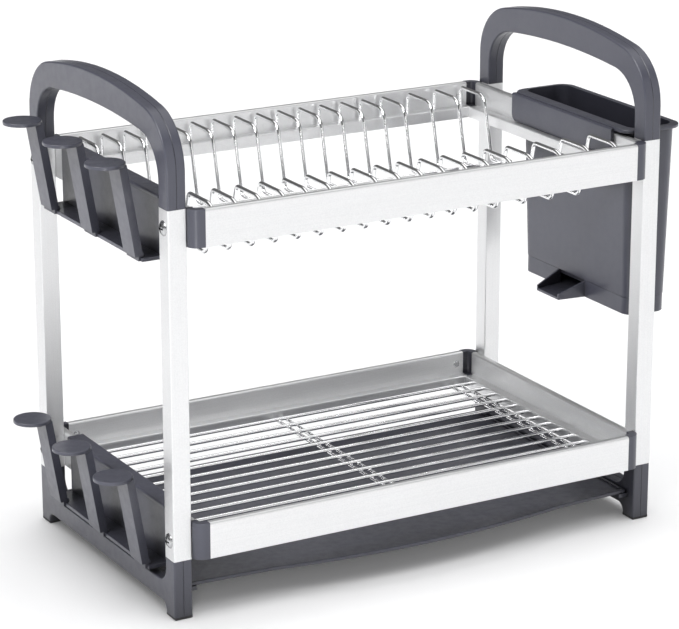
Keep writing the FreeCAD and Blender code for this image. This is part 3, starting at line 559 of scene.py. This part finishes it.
@dataclass
class TierFrame:
    """One tier's four rails and four corner pieces."""

    shop: Workshop
    tier: str

    def build(self) -> int:
        """Dress the tier's frame.

        Returns:
            How many pieces were dressed.
        """
        looks = {f"{self.tier}_{face}_rail": self.shop.aluminium[Grain.ALONG_X] for face in FACES}
        for end in ENDS:
            looks[f"{self.tier}_{end}_rail"] = self.shop.aluminium[Grain.ALONG_Y]
            for face in FACES:
                looks[f"{self.tier}_corner_{face}_{end}"] = self.shop.plastic
        for name, look in looks.items():
            self.shop.dress(name, look)
        return len(looks)


@dataclass
class Fasteners:
    """The post screws and corner rivets of both tiers."""

    shop: Workshop
    kinds: tuple[str, ...] = ("post_screws", "corner_rivets")

    def build(self) -> int:
        """Dress the fasteners.

        Returns:
            How many pieces were dressed.
        """
        for kind in self.kinds:
            self.shop.dress(kind, self.shop.steel)
        return len(self.kinds)


@dataclass
class DividerRack:
    """The bent divider wires of the upper tier and the rods that tie them."""

    shop: Workshop
    wires: int = 18

    def build(self) -> int:
        """Dress the wires.

        Returns:
            How many pieces were dressed.
        """
        for number in range(1, self.wires + 1):
            self.shop.dress(f"divider_wire_{number:02d}", self.shop.wire)
        self.shop.dress("divider_tie_rods", self.shop.wire)
        return self.wires + 1


@dataclass
class WireShelf:
    """The lower tier's rods, with the small welds where they cross."""

    shop: Workshop
    rows: int = 13
    row_pitch: float = 17.2 * MM
    pair_middles: tuple[float, ...] = (-173.0 * MM, 0.0, 173.0 * MM)
    pair_half: float = 4.0 * MM
    bead: tuple[float, float, float] = (0.7 * MM, 0.7 * MM, 0.35 * MM)
    bead_swell: float = 0.9

    def build(self) -> int:
        """Dress the rods and add the welds.

        Returns:
            How many pieces were dressed or added.
        """
        rods = [self.shop.dress(name, self.shop.wire) for name in ("shelf_rods", "shelf_cross_rods")]
        beads = self.weld_beads()
        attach(beads, "rack")
        return len(rods) + 1

    def weld_beads(self) -> bpy.types.Object:
        """Build a flattened, waisted bead at each crossing.

        Returns:
            One object that holds every bead.
        """
        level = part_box("shelf_rods")[0].z
        shape = bmesh.new()
        for middle in self.pair_middles:
            for side in (-self.pair_half, self.pair_half):
                for row in range(self.rows):
                    y = (row - (self.rows - 1) / 2) * self.row_pitch
                    self.add_bead(shape, Vector((middle + side, y, level)))
        mesh = bpy.data.meshes.new("shelf_weld_beads")
        shape.to_mesh(mesh)
        shape.free()
        mesh.shade_smooth()
        beads = bpy.data.objects.new("shelf_weld_beads", mesh)
        bpy.context.scene.collection.objects.link(beads)
        mesh.materials.append(self.shop.wire)
        return beads

    def add_bead(self, shape: bmesh.types.BMesh, centre: Vector) -> None:
        """Add one bead, wider across the corners between the two rods than along them.

        Args:
            shape: The mesh under construction.
            centre: Where the two rods touch.
        """
        made = bmesh.ops.create_icosphere(shape, subdivisions=2, radius=1.0)
        for vertex in made["verts"]:
            across = abs(vertex.co.x * vertex.co.y)
            swell = 1.0 + self.bead_swell * across
            vertex.co = centre + Vector((vertex.co.x * self.bead[0] * swell,
                                         vertex.co.y * self.bead[1] * swell,
                                         vertex.co.z * self.bead[2]))


@dataclass
class PlasticFitting:
    """A moulded plastic piece that hangs on, or slides under, the rack."""

    shop: Workshop
    node: str

    def build(self) -> int:
        """Dress the fitting.

        Returns:
            How many pieces were dressed.
        """
        self.shop.dress(self.node, self.shop.plastic)
        return 1


@dataclass(frozen=True)
class Panel:
    """A soft-edged bright panel of the room: its direction, brightness and half-widths in degrees."""

    towards: tuple[float, float, float]
    brightness: float
    inner: float
    outer: float


@dataclass
class Studio:
    """A pale floor, a dim room with two bright panels, and three lamps.

    The softbox stands high on the left, the wash lights the floor alone, and the strip is a narrow
    upright lamp.
    """

    floor_colour: tuple[float, float, float] = (0.90, 0.90, 0.905)
    floor_roughness: float = 0.9
    floor_specular: float = 0.1
    floor_half: float = 9.0
    dim: float = 0.14
    panels: tuple[Panel, Panel] = (Panel((0.49, -0.87, 0.0), 0.95, 20.0, 49.0),
                                   Panel((0.15, 0.1, 1.0), 1.35, 26.0, 44.0))
    lamp_towards: Vector = field(default_factory=lambda: Vector((-2.0, -0.35, 1.9)))
    lamp_strength: float = 2.3
    lamp_spread: float = 34.0
    wash_towards: Vector = field(default_factory=lambda: Vector((0.0, 0.0, 3.0)))
    wash_strength: float = 2.1
    wash_spread: float = 90.0
    strip_place: Vector = field(default_factory=lambda: Vector((-0.62, -0.80, 0.28)))
    strip_size: tuple[float, float] = (0.10, 0.55)
    strip_power: float = 1.3

    def build(self) -> None:
        """Make the floor, the room and the lamps."""
        floor = self.floor()
        self.walls()
        softbox = self.sun("softbox", self.lamp_towards, self.lamp_strength, self.lamp_spread)
        softbox.light_linking.receiver_collection = self.linked("all_but_floor", floor, "EXCLUDE")
        wash = self.sun("floor_wash", self.wash_towards, self.wash_strength, self.wash_spread)
        wash.light_linking.receiver_collection = self.linked("floor_lit", floor, "INCLUDE")
        wash.light_linking.blocker_collection = self.linked("floor_shading", floor, "INCLUDE")
        self.strip()

    def strip(self) -> None:
        """Add the narrow upright lamp that draws highlights down rounded edges and wires."""
        light = bpy.data.lights.new("strip", "AREA")
        light.shape = "RECTANGLE"
        light.size, light.size_y = self.strip_size
        light.energy = self.strip_power
        lamp = bpy.data.objects.new("strip", light)
        bpy.context.scene.collection.objects.link(lamp)
        lamp.location = self.strip_place
        outward = Vector((self.strip_place.x, self.strip_place.y, 0.0))
        lamp.rotation_euler = outward.to_track_quat("Z", "Y").to_euler()
        lamp.visible_camera = False

    def linked(self, name: str, member: bpy.types.Object, state: str) -> bpy.types.Collection:
        """Make a light-linking group that names one object.

        Args:
            name: The group's name.
            member: The object.
            state: INCLUDE for that object alone, or EXCLUDE for everything else.

        Returns:
            The group.
        """
        group = bpy.data.collections.new(name)
        group.objects.link(member)
        group.collection_objects[0].light_linking.link_state = state
        return group

    def floor(self) -> bpy.types.Object:
        """Make the floor with a plain matt finish.

        Returns:
            The floor.
        """
        half = self.floor_half
        shape = bmesh.new()
        corners = ((-half, -half, 0.0), (half, -half, 0.0), (half, half, 0.0), (-half, half, 0.0))
        shape.faces.new([shape.verts.new(corner) for corner in corners])
        mesh = bpy.data.meshes.new("floor")
        shape.to_mesh(mesh)
        shape.free()
        floor = bpy.data.objects.new("floor", mesh)
        bpy.context.scene.collection.objects.link(floor)
        graph = Graph("pale_floor")
        graph.set(base_color=(*self.floor_colour, 1.0), roughness=self.floor_roughness,
                  specular_ior_level=self.floor_specular)
        mesh.materials.append(graph.material)
        return floor

    def walls(self) -> None:
        """Light the room dimly, with a bright panel in front, one overhead and a white backdrop."""
        world = bpy.data.worlds.new("studio")
        world.use_nodes = True
        tree = world.node_tree
        place = tree.nodes.new("ShaderNodeTexCoord")
        level = tree.nodes.new("ShaderNodeLightPath").outputs["Is Camera Ray"]
        for panel in self.panels:
            brighter = tree.nodes.new("ShaderNodeMath")
            brighter.operation = "MAXIMUM"
            tree.links.new(level, brighter.inputs[0])
            tree.links.new(self.panel(tree, place.outputs["Generated"], panel), brighter.inputs[1])
            level = brighter.outputs["Value"]
        background = tree.nodes["Background"]
        background.inputs["Color"].default_value = (1.0, 1.0, 1.0, 1.0)
        tree.links.new(level, background.inputs["Strength"])
        bpy.context.scene.world = world

    def panel(self, tree: bpy.types.NodeTree, direction: bpy.types.NodeSocket,
              panel: Panel) -> bpy.types.NodeSocket:
        """Add one bright panel of the room.

        Args:
            tree: The room's nodes.
            direction: The direction looked in.
            panel: Where the panel is and how bright it is.

        Returns:
            The brightness of the room in that direction.
        """
        facing = tree.nodes.new("ShaderNodeVectorMath")
        facing.operation = "DOT_PRODUCT"
        facing.inputs[1].default_value = Vector(panel.towards).normalized()
        tree.links.new(direction, facing.inputs[0])
        level = tree.nodes.new("ShaderNodeMapRange")
        level.interpolation_type = "SMOOTHSTEP"
        level.inputs["From Min"].default_value = math.cos(math.radians(panel.outer))
        level.inputs["From Max"].default_value = math.cos(math.radians(panel.inner))
        level.inputs["To Min"].default_value = self.dim
        level.inputs["To Max"].default_value = panel.brightness
        tree.links.new(facing.outputs["Value"], level.inputs["Value"])
        return level.outputs["Result"]

    def sun(self, name: str, towards: Vector, strength: float, spread: float) -> bpy.types.Object:
        """Add a distant soft lamp.

        Args:
            name: The lamp's name.
            towards: Direction from the rack to the lamp.
            strength: Its strength, in watts per square metre.
            spread: How wide it looks from the rack, in degrees.

        Returns:
            The lamp.
        """
        light = bpy.data.lights.new(name, "SUN")
        light.energy = strength
        light.angle = math.radians(spread)
        lamp = bpy.data.objects.new(name, light)
        bpy.context.scene.collection.objects.link(lamp)
        lamp.location = towards
        lamp.rotation_euler = towards.to_track_quat("Z", "Y").to_euler()
        return lamp


@dataclass
class Viewpoint:
    """The camera, above and to the left of the rack's front."""

    place: Vector = field(default_factory=lambda: Vector((-1.0939, -1.9208, 0.8703)))
    azimuth: float = 29.544
    elevation: float = 17.493
    roll: float = -0.036
    lens: float = 154.0
    sensor: float = 36.0

    def build(self) -> None:
        """Make the camera and use it."""
        data = bpy.data.cameras.new("camera")
        data.lens = self.lens
        data.sensor_width = self.sensor
        camera = bpy.data.objects.new("camera", data)
        bpy.context.scene.collection.objects.link(camera)
        tilt = math.radians(90.0 - self.elevation)
        aim = Euler((tilt, 0.0, math.radians(-self.azimuth))).to_matrix()
        camera.location = self.place
        camera.rotation_euler = (aim @ Matrix.Rotation(math.radians(self.roll), 3, "Z")).to_euler()
        bpy.context.scene.camera = camera


def main() -> None:
    """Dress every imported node, add the details, and set up the studio and camera."""
    logging.basicConfig(level=logging.INFO, format="%(name)s: %(message)s")
    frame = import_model()
    shop = Workshop(frame["nodes"])
    assemblies = [Posts(shop), EndFrames(shop), TierFrame(shop, "lower"), TierFrame(shop, "upper"),
                  Fasteners(shop), DividerRack(shop), WireShelf(shop)]
    fittings = ("drip_tray", "lower_cup_holder", "upper_cup_holder", "cutlery_caddy", "caddy_water_cup")
    assemblies += [PlasticFitting(shop, name) for name in fittings]
    for assembly in assemblies:
        LOG.info("%s: %d pieces", type(assembly).__name__, assembly.build())
    Studio().build()
    Viewpoint().build()
    bpy.context.scene.view_settings.view_transform = "Standard"


if __name__ == "__main__":
    main()
